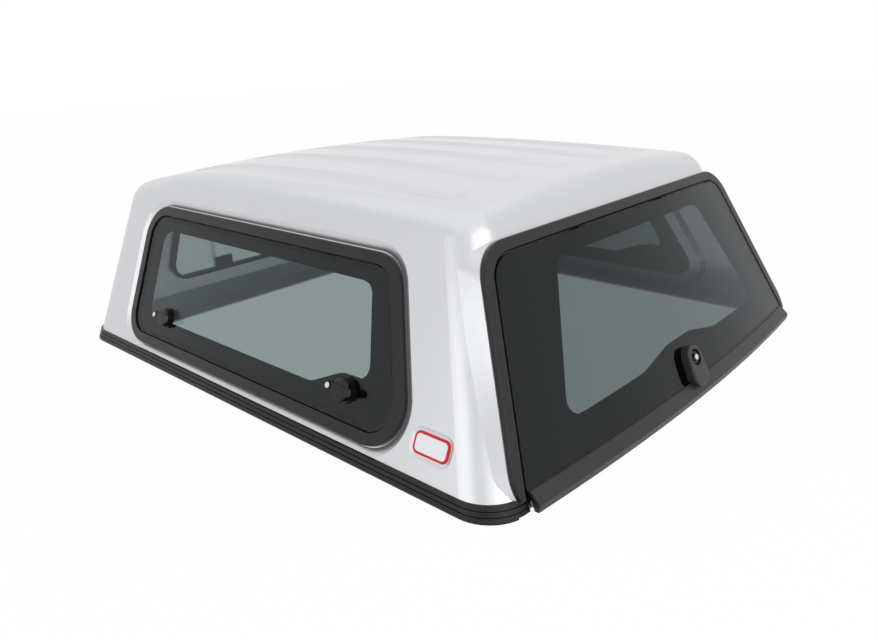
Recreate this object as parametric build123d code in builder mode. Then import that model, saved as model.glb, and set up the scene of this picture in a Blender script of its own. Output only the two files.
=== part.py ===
"""Pickup truck canopy: a moulded shell with raked glass rear door, side windows and a front window.

Millimetres. +X is the vehicle's right, +Y is forward to the cab and +Z is up. The origin is the middle
of the overall length and width, at the level of the tub rail that the base seal rests on.
"""
from build123d import *
from math import asin, cos, radians, sin, sqrt, tan
import os

# Overall size, over the base seal
BASE_WIDTH = 1540.0
BODY_LENGTH = 1690.0

# Base seal: a ribbed skirt outside the shell and a flat foot under its flange
SEAL_SKIRT = 5.0
SEAL_FOOT = 4.0
SEAL_HEIGHT = 30.0
SEAL_FOOT_WIDTH = 70.0
SEAL_CORNER_R = 20.0
SEAL_END = 102.0
SEAL_GROOVE = 2.5
SEAL_GROOVE_HEIGHT = 2.6
SEAL_CLEARANCE = 0.2

# Shell moulding
WALL = 5.0
SIDE_LEAN = 24.2
REAR_RAKE = 25.0
REAR_SETBACK = 10.0
REAR_CORNER_R = 90.0
FRONT_CORNER_R = 75.0
TOP_CORNER_R = 75.0
LOFT_TOP = 640.0
FLANGE_WIDTH = 115.0
FLANGE_FRONT = 128.0
FLANGE_CORNER_R = 60.0
CLAMP_FROM_SIDE = 40.0
CLAMP_FROM_END = 255.0
CLAMP_HOLE_R = 4.5

# Roof: a long camber that turns into a tighter nose over the front wall, crowned from side to side
ROOF_HEIGHT = 543.0
ROOF_EDGE_R = 85.0
CROWN_R = 8000.0
CAMBER_R = 14000.0
NOSE_R = 2100.0
NOSE_START = 400.0
NOSE_TURN = 16.0
ROOF_TOOL_REAR = 1100.0
ROOF_TOOL_HALF = 900.0
ROOF_TOOL_DEPTH = 700.0

# Roof flutes
FLUTE_COUNT = 5
FLUTE_PITCH = 205.0
FLUTE_WIDTH = 100.0
FLUTE_DEPTH = 11.0
FLUTE_FROM_REAR = 427.0
FLUTE_NOSE_TURN = 6.0
FLUTE_RAMP_R = 130.0
FLUTE_RAMP_TURN = 28.0
FLUTE_TOOL_WIDTH = 124.0
FLUTE_TOOL_HEIGHT = 30.0

# Side windows, outlined on the leaning side wall: heights are up the slope of the wall, and the corners
# are placed by their distance from the rear and front ends of the base
WINDOW_LOW = 44.0
WINDOW_HIGH = 458.0
WINDOW_REAR_LOW = 257.0
WINDOW_REAR_HIGH = 418.0
WINDOW_FRONT_HIGH = 190.0
WINDOW_FRONT_LOW = 217.0
WINDOW_CORNER_R = 95.0
POCKET_DEPTH = 12.0
POCKET_BEVEL = 20.0
POCKET_GAP = 3.0
FRAME_WIDTH = 28.0
FRAME_PROUD = 1.0
FRAME_EDGE_R = 4.0
LIP_WIDTH = 16.0
LIP_THICKNESS = 1.6
GLASS_GAP = 3.0
GLASS_THICKNESS = 5.0
SIDE_SEAL = 2.4
SEAT_GAP = 0.3
TOLERANCE = 0.01

# A shallow bevelled recess for a badge on each side wall, behind the window
BADGE_FROM_REAR = 207.0
BADGE_UP = 100.0
BADGE_LENGTH = 112.0
BADGE_HEIGHT = 68.0
BADGE_CORNER_R = 24.0
BADGE_DEPTH = 2.5
BADGE_BEVEL = 6.0

# Side window knobs, placed by their distance from the window's lower corners
KNOB_FROM_REAR = 224.0
KNOB_FROM_FRONT = 208.0
KNOB_UP = 142.0
KNOB_BASE_R = 30.0
KNOB_BASE_HEIGHT = 5.0
KNOB_R = 26.0
KNOB_HEIGHT = 17.0
KNOB_LEVER_REAR = 42.0
KNOB_LEVER_FRONT = 46.0
KNOB_LEVER_WIDTH = 19.0
KNOB_LEVER_HEIGHT = 20.0
KNOB_SPINDLE_R = 6.0
KNOB_GAP = 0.4
KEY_R = 7.0
KEY_BORE_CLEARANCE = 0.2
KEY_DEPTH = 14.0
KEY_PROUD = 1.5
KEY_BOSS_WALL = 3.0

# Rear surround, doorway and rear glass, outlined on the raked rear face
SURROUND_SIDE_LOW = 53.5
SURROUND_SIDE_HIGH = 8.2
SURROUND_TOP = 506.5
SURROUND_CORNER_R = 100.0
SURROUND_FACE = 28.0
SURROUND_SEAT = 50.0
SURROUND_PROUD = 12.0
SURROUND_LIP = 1.5
SURROUND_EDGE_R = 4.0
LANDING_MARGIN = 3.0
LANDING_DEPTH = 50.0
LANDING_RISE = 35.0
DOOR_EDGE_GAP = 5.0
DOOR_SEAT_GAP = 5.0
REAR_SEAL_WIDTH = 12.0
REAR_GLASS_LOW_Z = 13.0
GLASS_BOW_LOW = 30.0
GLASS_BOW_HIGH = 26.0

# Rear rail along the bottom of the glass
RAIL_LOW_Z = 3.0
RAIL_FOLD_Z = 19.0
RAIL_TOP_Z = 41.0
RAIL_FRONT = 5.0
RAIL_FOLD = 7.5
RAIL_LIP_Z = 30.0
RAIL_LIP = 3.5
RAIL_END = 51.0
RAIL_CAP = 3.0
RAIL_LIP_END = 30.0
RAIL_SLOT_GAP = 0.3

# Rear lock housing and its turning handle
LOCK_HALF_BASE = 40.0
LOCK_HALF_TOP = 29.0
LOCK_LOW_Z = 26.0
LOCK_TOP_Z = 118.0
LOCK_DEPTH = 22.0
LOCK_EDGE_R = 5.0
LOCK_Z = 90.0
LOCK_POCKET_R = 21.0
LOCK_POCKET_DEPTH = 12.0
HANDLE_R = 15.0
HANDLE_HEIGHT = 8.0
HANDLE_WING_WIDTH = 9.0
HANDLE_WING_HEIGHT = 4.0
HANDLE_SHAFT_R = 6.0

# Rear door hinges
HINGE_X = 200.0
HINGE_UP = 474.0
HINGE_OUT = 15.5
HINGE_BARREL_R = 3.5
HINGE_PIN_R = 2.0
HINGE_PIN_CLEARANCE = 0.05
HINGE_ARM_WIDTH = 16.0
HINGE_LEAF_WIDTH = 50.0
HINGE_SIDE_GAP = 0.5
HINGE_PLATE = 3.0
HINGE_ARM_LENGTH = 44.0
HINGE_LEAF_LOW = 458.0
HINGE_POST = 8.0
HINGE_NOTCH = 2.0

# Front window, outlined on the upright front wall
FRONT_SILL_Z = 119.0
FRONT_HEAD_Z = 400.0
FRONT_HALF_SILL = 467.0
FRONT_HALF_HEAD = 373.0
FRONT_CORNER_WINDOW_R = 40.0
FRONT_FRAME_DEPTH = 22.0
FRONT_FRAME_WIDTH = 12.0
FRONT_FLANGE_WIDTH = 12.0
FRONT_FLANGE = 2.5
FRONT_GLASS = 4.0
FRONT_GROOVE = 6.0
FRONT_GROOVE_GAP = 0.3
FRONT_TRACK = 3.0
SLIDER_HALF = 305.0
SLIDER_OVERLAP = 20.0
LATCH_X = -265.0
LATCH_WIDTH = 66.0
LATCH_HEIGHT = 38.0
LATCH_DEPTH = 14.0

SIDE_SLOPE = tan(radians(SIDE_LEAN))
REAR_SLOPE = tan(radians(REAR_RAKE))
SIDE_COS = cos(radians(SIDE_LEAN))
REAR_COS = cos(radians(REAR_RAKE))
HALF_WIDTH = BASE_WIDTH / 2 - SEAL_SKIRT / SIDE_COS
SURROUND_HALF_BASE = HALF_WIDTH - SURROUND_SIDE_LOW
SURROUND_HALF_TOP = HALF_WIDTH - SIDE_SLOPE * SURROUND_TOP * REAR_COS - SURROUND_SIDE_HIGH
RAIL_HALF = SURROUND_HALF_BASE - RAIL_END
CLAMP_SPACING_X = BASE_WIDTH - 2 * CLAMP_FROM_SIDE
CLAMP_SPACING_Y = BODY_LENGTH - 2 * CLAMP_FROM_END

# How far the bowed rail reaches behind the base, and the two ends of the base
GLASS_OUT = (SURROUND_LIP + DOOR_SEAT_GAP + GLASS_THICKNESS) / REAR_COS
REAR_REACH = GLASS_OUT + REAR_SLOPE * SEAL_FOOT + GLASS_BOW_LOW + RAIL_FOLD - REAR_SETBACK
REAR_Y = REAR_REACH - (BODY_LENGTH + REAR_REACH) / 2
FRONT_Y = REAR_Y + BODY_LENGTH
SURROUND_LEAN = (SURROUND_HALF_BASE - SURROUND_HALF_TOP) / SURROUND_TOP
GLASS_INSET = (SURROUND_FACE + DOOR_EDGE_GAP) * sqrt(1 + SURROUND_LEAN ** 2)
SHELL_FRONT = FRONT_Y - SEAL_SKIRT
SHELL_REAR = REAR_Y + REAR_SETBACK
WINDOW_REAR_LOW_Y = REAR_Y + WINDOW_REAR_LOW
WINDOW_FRONT_LOW_Y = FRONT_Y - WINDOW_FRONT_LOW
KNOB_REAR_Y = WINDOW_REAR_LOW_Y + KNOB_FROM_REAR
KNOB_FRONT_Y = WINDOW_FRONT_LOW_Y - KNOB_FROM_FRONT

# The right side wall, the raked rear face and the upright front wall, seen from outside
side_plane = Plane((HALF_WIDTH, 0, SEAL_FOOT), x_dir=(0, 1, 0), z_dir=(SIDE_COS, 0, SIDE_COS * SIDE_SLOPE))
rear_plane = Plane((0, SHELL_REAR, SEAL_FOOT), x_dir=(1, 0, 0), z_dir=(0, -REAR_COS, REAR_COS * REAR_SLOPE))
front_plane = Plane((0, SHELL_FRONT, 0), x_dir=(-1, 0, 0), z_dir=(0, 1, 0))


def plan_outline(z, inset=0.0):
    """The shell's plan at one height: it narrows going up, and so do its rounded corners."""
    climb = z - SEAL_FOOT
    share = climb / (LOFT_TOP - SEAL_FOOT)
    half = HALF_WIDTH - SIDE_SLOPE * climb - inset / SIDE_COS
    rear = SHELL_REAR + REAR_SLOPE * climb + inset / REAR_COS
    front = SHELL_FRONT - inset
    with BuildSketch(Plane.XY.offset(z)) as outline:
        with BuildLine():
            Polyline((-half, rear), (half, rear), (half, front), (-half, front), close=True)
        make_face()
        rear_corners = outline.vertices().group_by(Axis.Y)[0]
        fillet(rear_corners, REAR_CORNER_R + (TOP_CORNER_R - REAR_CORNER_R) * share - inset)
        front_corners = outline.vertices().group_by(Axis.Y)[-1]
        fillet(front_corners, FRONT_CORNER_R + (TOP_CORNER_R - FRONT_CORNER_R) * share - inset)
    return outline.sketch


def roof_line(lift, rear_y, nose_turn, x=0.0):
    """The roof's long profile at one distance from the middle, raised by lift."""
    radius = CAMBER_R + lift
    centre_z = ROOF_HEIGHT - CAMBER_R - x ** 2 / (2 * CROWN_R)
    turns = [asin(y / CAMBER_R) for y in (rear_y, (rear_y + NOSE_START) / 2, NOSE_START)]
    points = [(radius * sin(turn), centre_z + radius * cos(turn)) for turn in turns]
    with BuildLine(Plane.YZ.offset(x)) as line:
        camber = ThreePointArc(*points)
        JernArc(camber @ 1, camber % 1, NOSE_R + lift, -nose_turn)
    return line.wires()[0]


def below_roof(inset=0.0):
    """Everything under the crowned roof surface, as a long bar swept along the roof line."""
    path = roof_line(-inset, -ROOF_TOOL_REAR, NOSE_TURN)
    start = Plane(path @ 0, x_dir=(1, 0, 0), z_dir=path % 0)
    down = -1 if start.y_dir.Z > 0 else 1
    edge_drop = down * ROOF_TOOL_HALF ** 2 / (2 * CROWN_R)
    deep = down * ROOF_TOOL_DEPTH
    with BuildPart() as bar:
        with BuildSketch(start):
            with BuildLine():
                crown = Spline((-ROOF_TOOL_HALF, edge_drop), (-ROOF_TOOL_HALF / 2, edge_drop / 4), (0, 0),
                               (ROOF_TOOL_HALF / 2, edge_drop / 4), (ROOF_TOOL_HALF, edge_drop))
                Polyline(crown @ 1, (ROOF_TOOL_HALF, deep), (-ROOF_TOOL_HALF, deep), crown @ 0)
            make_face()
        sweep(path=path)
    return bar.part


def body_form(inset=0.0):
    """The canopy's outer form, or its inner one at the wall's thickness, as a closed solid."""
    with BuildPart() as form:
        add(plan_outline(SEAL_FOOT, inset))
        add(plan_outline(LOFT_TOP, inset))
        loft(ruled=True)
        add(below_roof(inset), mode=Mode.INTERSECT)
        roof = form.faces().filter_by(lambda face: face.normal_at().Z > 0.85)
        rim = [edge for edge in roof.edges() if len([face for face in roof if edge in face.edges()]) == 1]
        fillet(rim, ROOF_EDGE_R - inset)
    return form.part


def flute(x, skin=0.0):
    """A bar along the roof that presses one shallow flute into it and rises out of it at both ends."""
    radius = (FLUTE_WIDTH ** 2 / 4 + FLUTE_DEPTH ** 2) / (2 * FLUTE_DEPTH)
    half = FLUTE_TOOL_WIDTH / 2
    trough = roof_line(-FLUTE_DEPTH, REAR_Y + FLUTE_FROM_REAR, FLUTE_NOSE_TURN, x)
    with BuildLine(Plane.YZ.offset(x)) as line:
        add(trough)
        JernArc(trough @ 0, (trough % 0) * -1, FLUTE_RAMP_R, -FLUTE_RAMP_TURN)
        JernArc(trough @ 1, trough % 1, FLUTE_RAMP_R, FLUTE_RAMP_TURN)
    path = line.wires()[0]
    start = Plane(path @ 0, x_dir=(1, 0, 0), z_dir=path % 0)
    up = 1 if start.y_dir.Z > 0 else -1
    with BuildPart() as bar:
        with BuildSketch(start):
            with BuildLine():
                bed = Spline(*[(x_share * half, up * (radius - sqrt((radius + skin) ** 2 - (x_share * half) ** 2)))
                               for x_share in (-1, -0.6, 0, 0.6, 1)])
                Polyline(bed @ 1, (half, up * FLUTE_TOOL_HEIGHT), (-half, up * FLUTE_TOOL_HEIGHT), bed @ 0)
            make_face()
        sweep(path=path)
    return bar.part


def window_outline(plane, grow=0.0):
    """The side window's outline: a leaning rear edge, a long top, an upright front edge."""
    with BuildSketch(plane) as outline:
        with BuildLine():
            Polyline((WINDOW_REAR_LOW_Y, WINDOW_LOW), (WINDOW_FRONT_LOW_Y, WINDOW_LOW),
                     (FRONT_Y - WINDOW_FRONT_HIGH, WINDOW_HIGH), (REAR_Y + WINDOW_REAR_HIGH, WINDOW_HIGH),
                     close=True)
        make_face()
        if grow:
            offset(amount=grow, kind=Kind.INTERSECTION)
        fillet(outline.vertices(), WINDOW_CORNER_R + grow)
    return outline.sketch


def arch_outline(plane, half_base, lean, top, corner_r):
    """An arch on the raked face: straight legs that lean in from a half width at the base, rounded at the top."""
    foot = -SURROUND_SEAT
    half_foot = half_base - lean * foot
    half_top = half_base - lean * top
    with BuildSketch(plane) as outline:
        with BuildLine():
            Polyline((-half_foot, foot), (half_foot, foot), (half_top, top), (-half_top, top), close=True)
        make_face()
        fillet(outline.vertices().group_by(Axis.Z)[-1], corner_r)
    return outline.sketch


def surround_outline(plane, grow=0.0):
    """The rear surround's outline, grown or shrunk all round."""
    half_base = SURROUND_HALF_BASE + grow * sqrt(1 + SURROUND_LEAN ** 2)
    return arch_outline(plane, half_base, SURROUND_LEAN, SURROUND_TOP + grow, SURROUND_CORNER_R + grow)


def front_outline(plane, grow=0.0):
    """The front window's daylight outline."""
    with BuildSketch(plane) as outline:
        with BuildLine():
            Polyline((-FRONT_HALF_SILL, FRONT_SILL_Z), (FRONT_HALF_SILL, FRONT_SILL_Z),
                     (FRONT_HALF_HEAD, FRONT_HEAD_Z), (-FRONT_HALF_HEAD, FRONT_HEAD_Z), close=True)
        make_face()
        if grow:
            offset(amount=grow, kind=Kind.INTERSECTION)
        fillet(outline.vertices(), FRONT_CORNER_WINDOW_R + grow)
    return outline.sketch


def bow_arc(z, shift):
    """The bowed line of the rear glass at one height, moved forward by shift."""
    climb = z / (REAR_COS * SURROUND_TOP)
    half = SURROUND_HALF_BASE - GLASS_INSET - SURROUND_LEAN * SURROUND_TOP * climb
    bow = GLASS_BOW_LOW + (GLASS_BOW_HIGH - GLASS_BOW_LOW) * climb
    line_y = SHELL_REAR + REAR_SLOPE * (z - SEAL_FOOT) - GLASS_OUT + shift
    radius = (half ** 2 + bow ** 2) / (2 * bow)
    reach = SURROUND_HALF_BASE
    end_y = line_y - bow + radius - sqrt(radius ** 2 - reach ** 2)
    return (-reach, end_y), (0, line_y - bow), (reach, end_y)


def glass_band(near, far):
    """A bowed sheet between two level arcs, from one distance in from the glass's outer face to another."""
    with BuildPart() as band:
        for z in (-SURROUND_SEAT, SURROUND_TOP):
            with BuildSketch(Plane.XY.offset(z)):
                with BuildLine():
                    outer = ThreePointArc(*bow_arc(z, near))
                    inner = ThreePointArc(*bow_arc(z, far))
                    Line(outer @ 0, inner @ 0)
                    Line(outer @ 1, inner @ 1)
                make_face()
        loft(ruled=True)
    return band.part


def glass_outline(plane, grow=0.0):
    """The rear glass's outline, inside the surround's face by the door's edge gap."""
    return surround_outline(plane, grow - SURROUND_FACE - DOOR_EDGE_GAP)


def on_level(edge, plane, height):
    """Whether an edge lies flat at one height over a plane."""
    points = [edge.position_at(share) for share in (0, 0.5, 1)]
    return all(abs(plane.to_local_coords(point).Z - height) < TOLERANCE for point in points)


def finish(piece, name):
    """Label one sub-part and write its file."""
    piece.part.label = name
    export_step(piece.part, f"parts/{name}.step")


os.makedirs("parts", exist_ok=True)
flute_xs = [FLUTE_PITCH * (i - (FLUTE_COUNT - 1) / 2) for i in range(FLUTE_COUNT)]

# Tools for the side window pocket: a bevelled pan outside, and the same pan a wall's thickness deeper
with BuildPart() as pocket:
    add(window_outline(side_plane.offset(-POCKET_DEPTH), POCKET_GAP))
    add(window_outline(side_plane.offset(POCKET_DEPTH), POCKET_GAP + 2 * POCKET_BEVEL))
    loft(ruled=True)

with BuildPart() as pocket_pan:
    add(window_outline(side_plane.offset(-POCKET_DEPTH - WALL), POCKET_GAP + WALL))
    add(window_outline(side_plane, POCKET_GAP + POCKET_BEVEL + WALL))
    loft(ruled=True)

with BuildPart() as window_hole:
    extrude(window_outline(side_plane.offset(-POCKET_DEPTH - 2 * WALL), -FRAME_WIDTH),
            amount=2 * WALL + POCKET_DEPTH)

with BuildPart() as badge_recess:
    for lift, grow in ((-BADGE_DEPTH, -BADGE_BEVEL), (BADGE_DEPTH, BADGE_BEVEL)):
        with BuildSketch(side_plane.offset(lift)):
            with Locations((REAR_Y + BADGE_FROM_REAR, BADGE_UP)):
                RectangleRounded(BADGE_LENGTH + 2 * grow, BADGE_HEIGHT + 2 * grow, BADGE_CORNER_R + grow)
    loft(ruled=True)

# The flat landing that the rear surround is bonded to. Its flanks run forward until they meet the rounded
# corners of the body, so the far outline follows the side walls, tucked in by the corner's rounding there.
with BuildPart() as landing:
    far_plane = rear_plane.offset(-LANDING_DEPTH)
    tuck_low, tuck_high = (radius - sqrt(radius ** 2 - (radius - LANDING_DEPTH) ** 2)
                           for radius in (REAR_CORNER_R, TOP_CORNER_R))
    far_half = HALF_WIDTH - tuck_low - SIDE_SLOPE * (far_plane.origin.Z - SEAL_FOOT)
    far_lean = SIDE_SLOPE * REAR_COS - (tuck_low - tuck_high) / SURROUND_TOP
    add(surround_outline(rear_plane, LANDING_MARGIN))
    add(arch_outline(far_plane, far_half, far_lean, SURROUND_TOP + LANDING_RISE, SURROUND_CORNER_R))
    loft(ruled=True)
    split(bisect_by=Plane.XY.offset(SEAL_HEIGHT + SEAL_CLEARANCE), keep=Keep.TOP)

with BuildPart() as doorway:
    extrude(surround_outline(rear_plane.offset(-LANDING_DEPTH - WALL), -SURROUND_SEAT),
            amount=LANDING_DEPTH + 2 * WALL)

# The space inside the shell, above its base flange
with BuildPart() as cavity:
    add(body_form(WALL))
    split(bisect_by=Plane.XY.offset(SEAL_FOOT + WALL), keep=Keep.TOP)
    for x in flute_xs:
        add(flute(x, WALL), mode=Mode.SUBTRACT)
    add(pocket_pan.part, mode=Mode.SUBTRACT)
    mirror(pocket_pan.part, about=Plane.YZ, mode=Mode.SUBTRACT)

# The opening inside the base flange, from the front flange back through the doorway
with BuildPart() as flange_opening:
    with BuildSketch(Plane.XY):
        with Locations((0, FRONT_Y - FLANGE_FRONT)):
            Rectangle(BASE_WIDTH - 2 * FLANGE_WIDTH, 2 * BODY_LENGTH, align=(Align.CENTER, Align.MAX))
        fillet(vertices().group_by(Axis.Y)[-1], FLANGE_CORNER_R)
    extrude(amount=SEAL_FOOT + 2 * WALL)

# The shell: one moulding with its roof, walls, pockets and inner base flange
with BuildPart() as shell:
    add(body_form())
    for x in flute_xs:
        add(flute(x), mode=Mode.SUBTRACT)
    add(landing.part)
    add(cavity.part, mode=Mode.SUBTRACT)
    add(pocket.part, mode=Mode.SUBTRACT)
    mirror(pocket.part, about=Plane.YZ, mode=Mode.SUBTRACT)
    add(window_hole.part, mode=Mode.SUBTRACT)
    mirror(window_hole.part, about=Plane.YZ, mode=Mode.SUBTRACT)
    add(badge_recess.part, mode=Mode.SUBTRACT)
    mirror(badge_recess.part, about=Plane.YZ, mode=Mode.SUBTRACT)
    add(doorway.part, mode=Mode.SUBTRACT)
    add(flange_opening.part, mode=Mode.SUBTRACT)
    extrude(front_outline(front_plane.offset(-2 * WALL), FRONT_FRAME_WIDTH + FRONT_GROOVE_GAP),
            amount=4 * WALL, mode=Mode.SUBTRACT)
    with Locations(Plane.XY.offset(SEAL_FOOT)):
        with GridLocations(CLAMP_SPACING_X, CLAMP_SPACING_Y, 2, 2):
            Cylinder(CLAMP_HOLE_R, 3 * WALL, mode=Mode.SUBTRACT)
finish(shell, "shell")

# Base seal: a foot under the flange and a skirt with grooves moulded round it
with BuildPart() as base_seal:
    ridge = (SEAL_HEIGHT - SEAL_FOOT - 2 * SEAL_GROOVE_HEIGHT) / 3
    add(plan_outline(SEAL_FOOT, -SEAL_SKIRT).moved(Pos(0, 0, -SEAL_FOOT)))
    add(plan_outline(SEAL_FOOT, -SEAL_SKIRT))
    loft(ruled=True)
    level = SEAL_FOOT
    for height, depth in ((ridge, 0.0), (SEAL_GROOVE_HEIGHT, SEAL_GROOVE), (ridge, 0.0),
                          (SEAL_GROOVE_HEIGHT, SEAL_GROOVE), (ridge, 0.0)):
        add(plan_outline(level, depth - SEAL_SKIRT))
        add(plan_outline(level + height, depth - SEAL_SKIRT))
        loft(ruled=True)
        level += height
    add(plan_outline(SEAL_FOOT, -SEAL_CLEARANCE))
    add(plan_outline(SEAL_HEIGHT, -SEAL_CLEARANCE))
    loft(ruled=True, mode=Mode.SUBTRACT)
    with BuildSketch(Plane.XY):
        with Locations((0, FRONT_Y - SEAL_FOOT_WIDTH)):
            Rectangle(BASE_WIDTH - 2 * SEAL_FOOT_WIDTH, 2 * BODY_LENGTH, align=(Align.CENTER, Align.MAX))
        fillet(vertices().group_by(Axis.Y)[-1], SEAL_CORNER_R)
    extrude(amount=SEAL_FOOT, mode=Mode.SUBTRACT)
    with Locations((0, REAR_Y - REAR_REACH)):
        Box(BASE_WIDTH - 2 * SEAL_END, 4 * REAR_REACH, 2 * SEAL_HEIGHT + SEAL_FOOT, mode=Mode.SUBTRACT)
    with GridLocations(CLAMP_SPACING_X, CLAMP_SPACING_Y, 2, 2):
        Cylinder(CLAMP_HOLE_R, 3 * SEAL_FOOT, mode=Mode.SUBTRACT)
finish(base_seal, "base_seal")

# Rear surround: a raised face round the glass and a thin seat that runs under its edge
with BuildPart() as rear_surround:
    extrude(surround_outline(rear_plane), amount=SURROUND_PROUD)
    extrude(surround_outline(rear_plane, -SURROUND_SEAT), amount=SURROUND_PROUD, mode=Mode.SUBTRACT)
    extrude(surround_outline(rear_plane.offset(SURROUND_LIP), -SURROUND_FACE), amount=SURROUND_PROUD,
            mode=Mode.SUBTRACT)
    split(bisect_by=Plane.XY.offset(SEAL_HEIGHT + SEAL_CLEARANCE), keep=Keep.TOP)
    crest = rear_surround.edges().filter_by(lambda edge: on_level(edge, rear_plane, SURROUND_PROUD))
    outer_crest = [edge for edge in crest if edge.length > SURROUND_CORNER_R]
    fillet(outer_crest, SURROUND_EDGE_R)
finish(rear_surround, "rear_surround")

# Rear seal: a rubber strip from the surround's seat up to the bowed glass, open round the hinges
glass_reach = GLASS_THICKNESS / REAR_COS
behind_glass = glass_band(glass_reach + SEAT_GAP, glass_reach + 4 * REAR_REACH)
with BuildPart() as rear_seal:
    seal_plane = rear_plane.offset(SURROUND_LIP)
    seal_edge = SURROUND_FACE + DOOR_EDGE_GAP
    extrude(surround_outline(seal_plane, -seal_edge), amount=REAR_REACH)
    extrude(surround_outline(seal_plane, -seal_edge - REAR_SEAL_WIDTH), amount=REAR_REACH, mode=Mode.SUBTRACT)
    split(bisect_by=Plane.XY.offset(RAIL_TOP_Z + DOOR_EDGE_GAP), keep=Keep.TOP)
    with BuildSketch(seal_plane):
        with Locations((-HINGE_X, HINGE_UP), (HINGE_X, HINGE_UP)):
            Rectangle(HINGE_LEAF_WIDTH + 2 * HINGE_NOTCH, 2 * SURROUND_FACE)
    extrude(amount=REAR_REACH, mode=Mode.SUBTRACT)
    add(behind_glass, mode=Mode.INTERSECT)
finish(rear_seal, "rear_seal")

# Side windows: frame in the pocket, seal on the frame's lip, frameless glass
with BuildPart() as window_frame_right:
    floor = side_plane.offset(-POCKET_DEPTH)
    extrude(window_outline(floor), amount=POCKET_DEPTH + FRAME_PROUD)
    outer_edge = window_frame_right.edges().filter_by(lambda edge: on_level(edge, floor, POCKET_DEPTH + FRAME_PROUD))
    fillet(outer_edge, FRAME_EDGE_R)
    extrude(window_outline(floor.offset(LIP_THICKNESS), -FRAME_WIDTH), amount=POCKET_DEPTH, mode=Mode.SUBTRACT)
    extrude(window_outline(floor, -FRAME_WIDTH - LIP_WIDTH), amount=POCKET_DEPTH, mode=Mode.SUBTRACT)
finish(window_frame_right, "window_frame_right")

with BuildPart() as window_frame_left:
    mirror(window_frame_right.part, about=Plane.YZ)
finish(window_frame_left, "window_frame_left")

with BuildPart() as window_seal_right:
    lip_top = side_plane.offset(-POCKET_DEPTH + LIP_THICKNESS)
    extrude(window_outline(lip_top, -FRAME_WIDTH - SEAT_GAP), amount=SIDE_SEAL)
    extrude(window_outline(lip_top, -FRAME_WIDTH - LIP_WIDTH + 1), amount=SIDE_SEAL, mode=Mode.SUBTRACT)
finish(window_seal_right, "window_seal_right")

with BuildPart() as window_seal_left:
    mirror(window_seal_right.part, about=Plane.YZ)
finish(window_seal_left, "window_seal_left")

glass_seat = side_plane.offset(-POCKET_DEPTH + LIP_THICKNESS + SIDE_SEAL)
glass_face = glass_seat.offset(GLASS_THICKNESS)
with BuildPart() as window_glass_right:
    extrude(window_outline(glass_seat, -FRAME_WIDTH - GLASS_GAP), amount=GLASS_THICKNESS)
    with Locations(glass_seat):
        with Locations((KNOB_REAR_Y, KNOB_UP), (KNOB_FRONT_Y, KNOB_UP)):
            Cylinder(KNOB_SPINDLE_R + 1, 3 * GLASS_THICKNESS, mode=Mode.SUBTRACT)
finish(window_glass_right, "window_glass_right")

with BuildPart() as window_glass_left:
    mirror(window_glass_right.part, about=Plane.YZ)
finish(window_glass_left, "window_glass_left")

# Quarter-turn knobs: a fixed ring on the glass, a turning cap with a lever, a key barrel in the lever
for end, knob_y in (("rear", KNOB_REAR_Y), ("front", KNOB_FRONT_Y)):
    ring_plane = glass_face.shift_origin(glass_face.from_local_coords((knob_y, KNOB_UP, 0)))
    cap_plane = ring_plane.offset(KNOB_BASE_HEIGHT + KNOB_GAP)
    spindle_length = KNOB_BASE_HEIGHT + KNOB_GAP + GLASS_THICKNESS
    with BuildPart() as knob_ring:
        with BuildSketch(ring_plane):
            Circle(KNOB_BASE_R)
            Circle(KNOB_SPINDLE_R + KNOB_GAP, mode=Mode.SUBTRACT)
        extrude(amount=KNOB_BASE_HEIGHT)
        chamfer(knob_ring.edges().filter_by(GeomType.CIRCLE).sort_by(Axis.X)[-1:], KNOB_GAP)
    with BuildPart() as knob:
        with BuildSketch(cap_plane):
            Circle(KNOB_R)
        extrude(amount=KNOB_HEIGHT)
        fillet(knob.edges().filter_by(GeomType.CIRCLE).sort_by(Axis.X)[-1:], KNOB_HEIGHT / 3)
        with BuildSketch(cap_plane):
            with Locations(((KNOB_LEVER_FRONT - KNOB_LEVER_REAR) / 2, 0)):
                SlotOverall(KNOB_LEVER_FRONT + KNOB_LEVER_REAR, KNOB_LEVER_WIDTH)
        extrude(amount=KNOB_LEVER_HEIGHT)
        with BuildSketch(cap_plane):
            with Locations((KNOB_LEVER_FRONT - KNOB_LEVER_WIDTH / 2, 0)):
                Circle(KEY_R + KEY_BOSS_WALL)
        extrude(amount=KNOB_LEVER_HEIGHT + KEY_PROUD)
        with BuildSketch(cap_plane):
            Circle(KNOB_SPINDLE_R)
        extrude(amount=-spindle_length)
        with BuildSketch(cap_plane.offset(KNOB_LEVER_HEIGHT + KEY_PROUD - KEY_DEPTH)):
            with Locations((KNOB_LEVER_FRONT - KNOB_LEVER_WIDTH / 2, 0)):
                Circle(KEY_R + KEY_BORE_CLEARANCE)
        extrude(amount=KEY_DEPTH + KEY_PROUD, mode=Mode.SUBTRACT)
    with BuildPart() as key_barrel:
        with BuildSketch(cap_plane.offset(KNOB_LEVER_HEIGHT + KEY_PROUD - KEY_DEPTH)):
            with Locations((KNOB_LEVER_FRONT - KNOB_LEVER_WIDTH / 2, 0)):
                Circle(KEY_R)
        extrude(amount=KEY_DEPTH)
        chamfer(key_barrel.edges().filter_by(GeomType.CIRCLE).sort_by(Axis.X)[-1:], KNOB_GAP)
    for piece, title in ((knob_ring, "knob_ring"), (knob, "knob"), (key_barrel, "key_barrel")):
        finish(piece, f"{title}_{end}_right")
        with BuildPart() as left_piece:
            mirror(piece.part, about=Plane.YZ)
        finish(left_piece, f"{title}_{end}_left")

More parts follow.
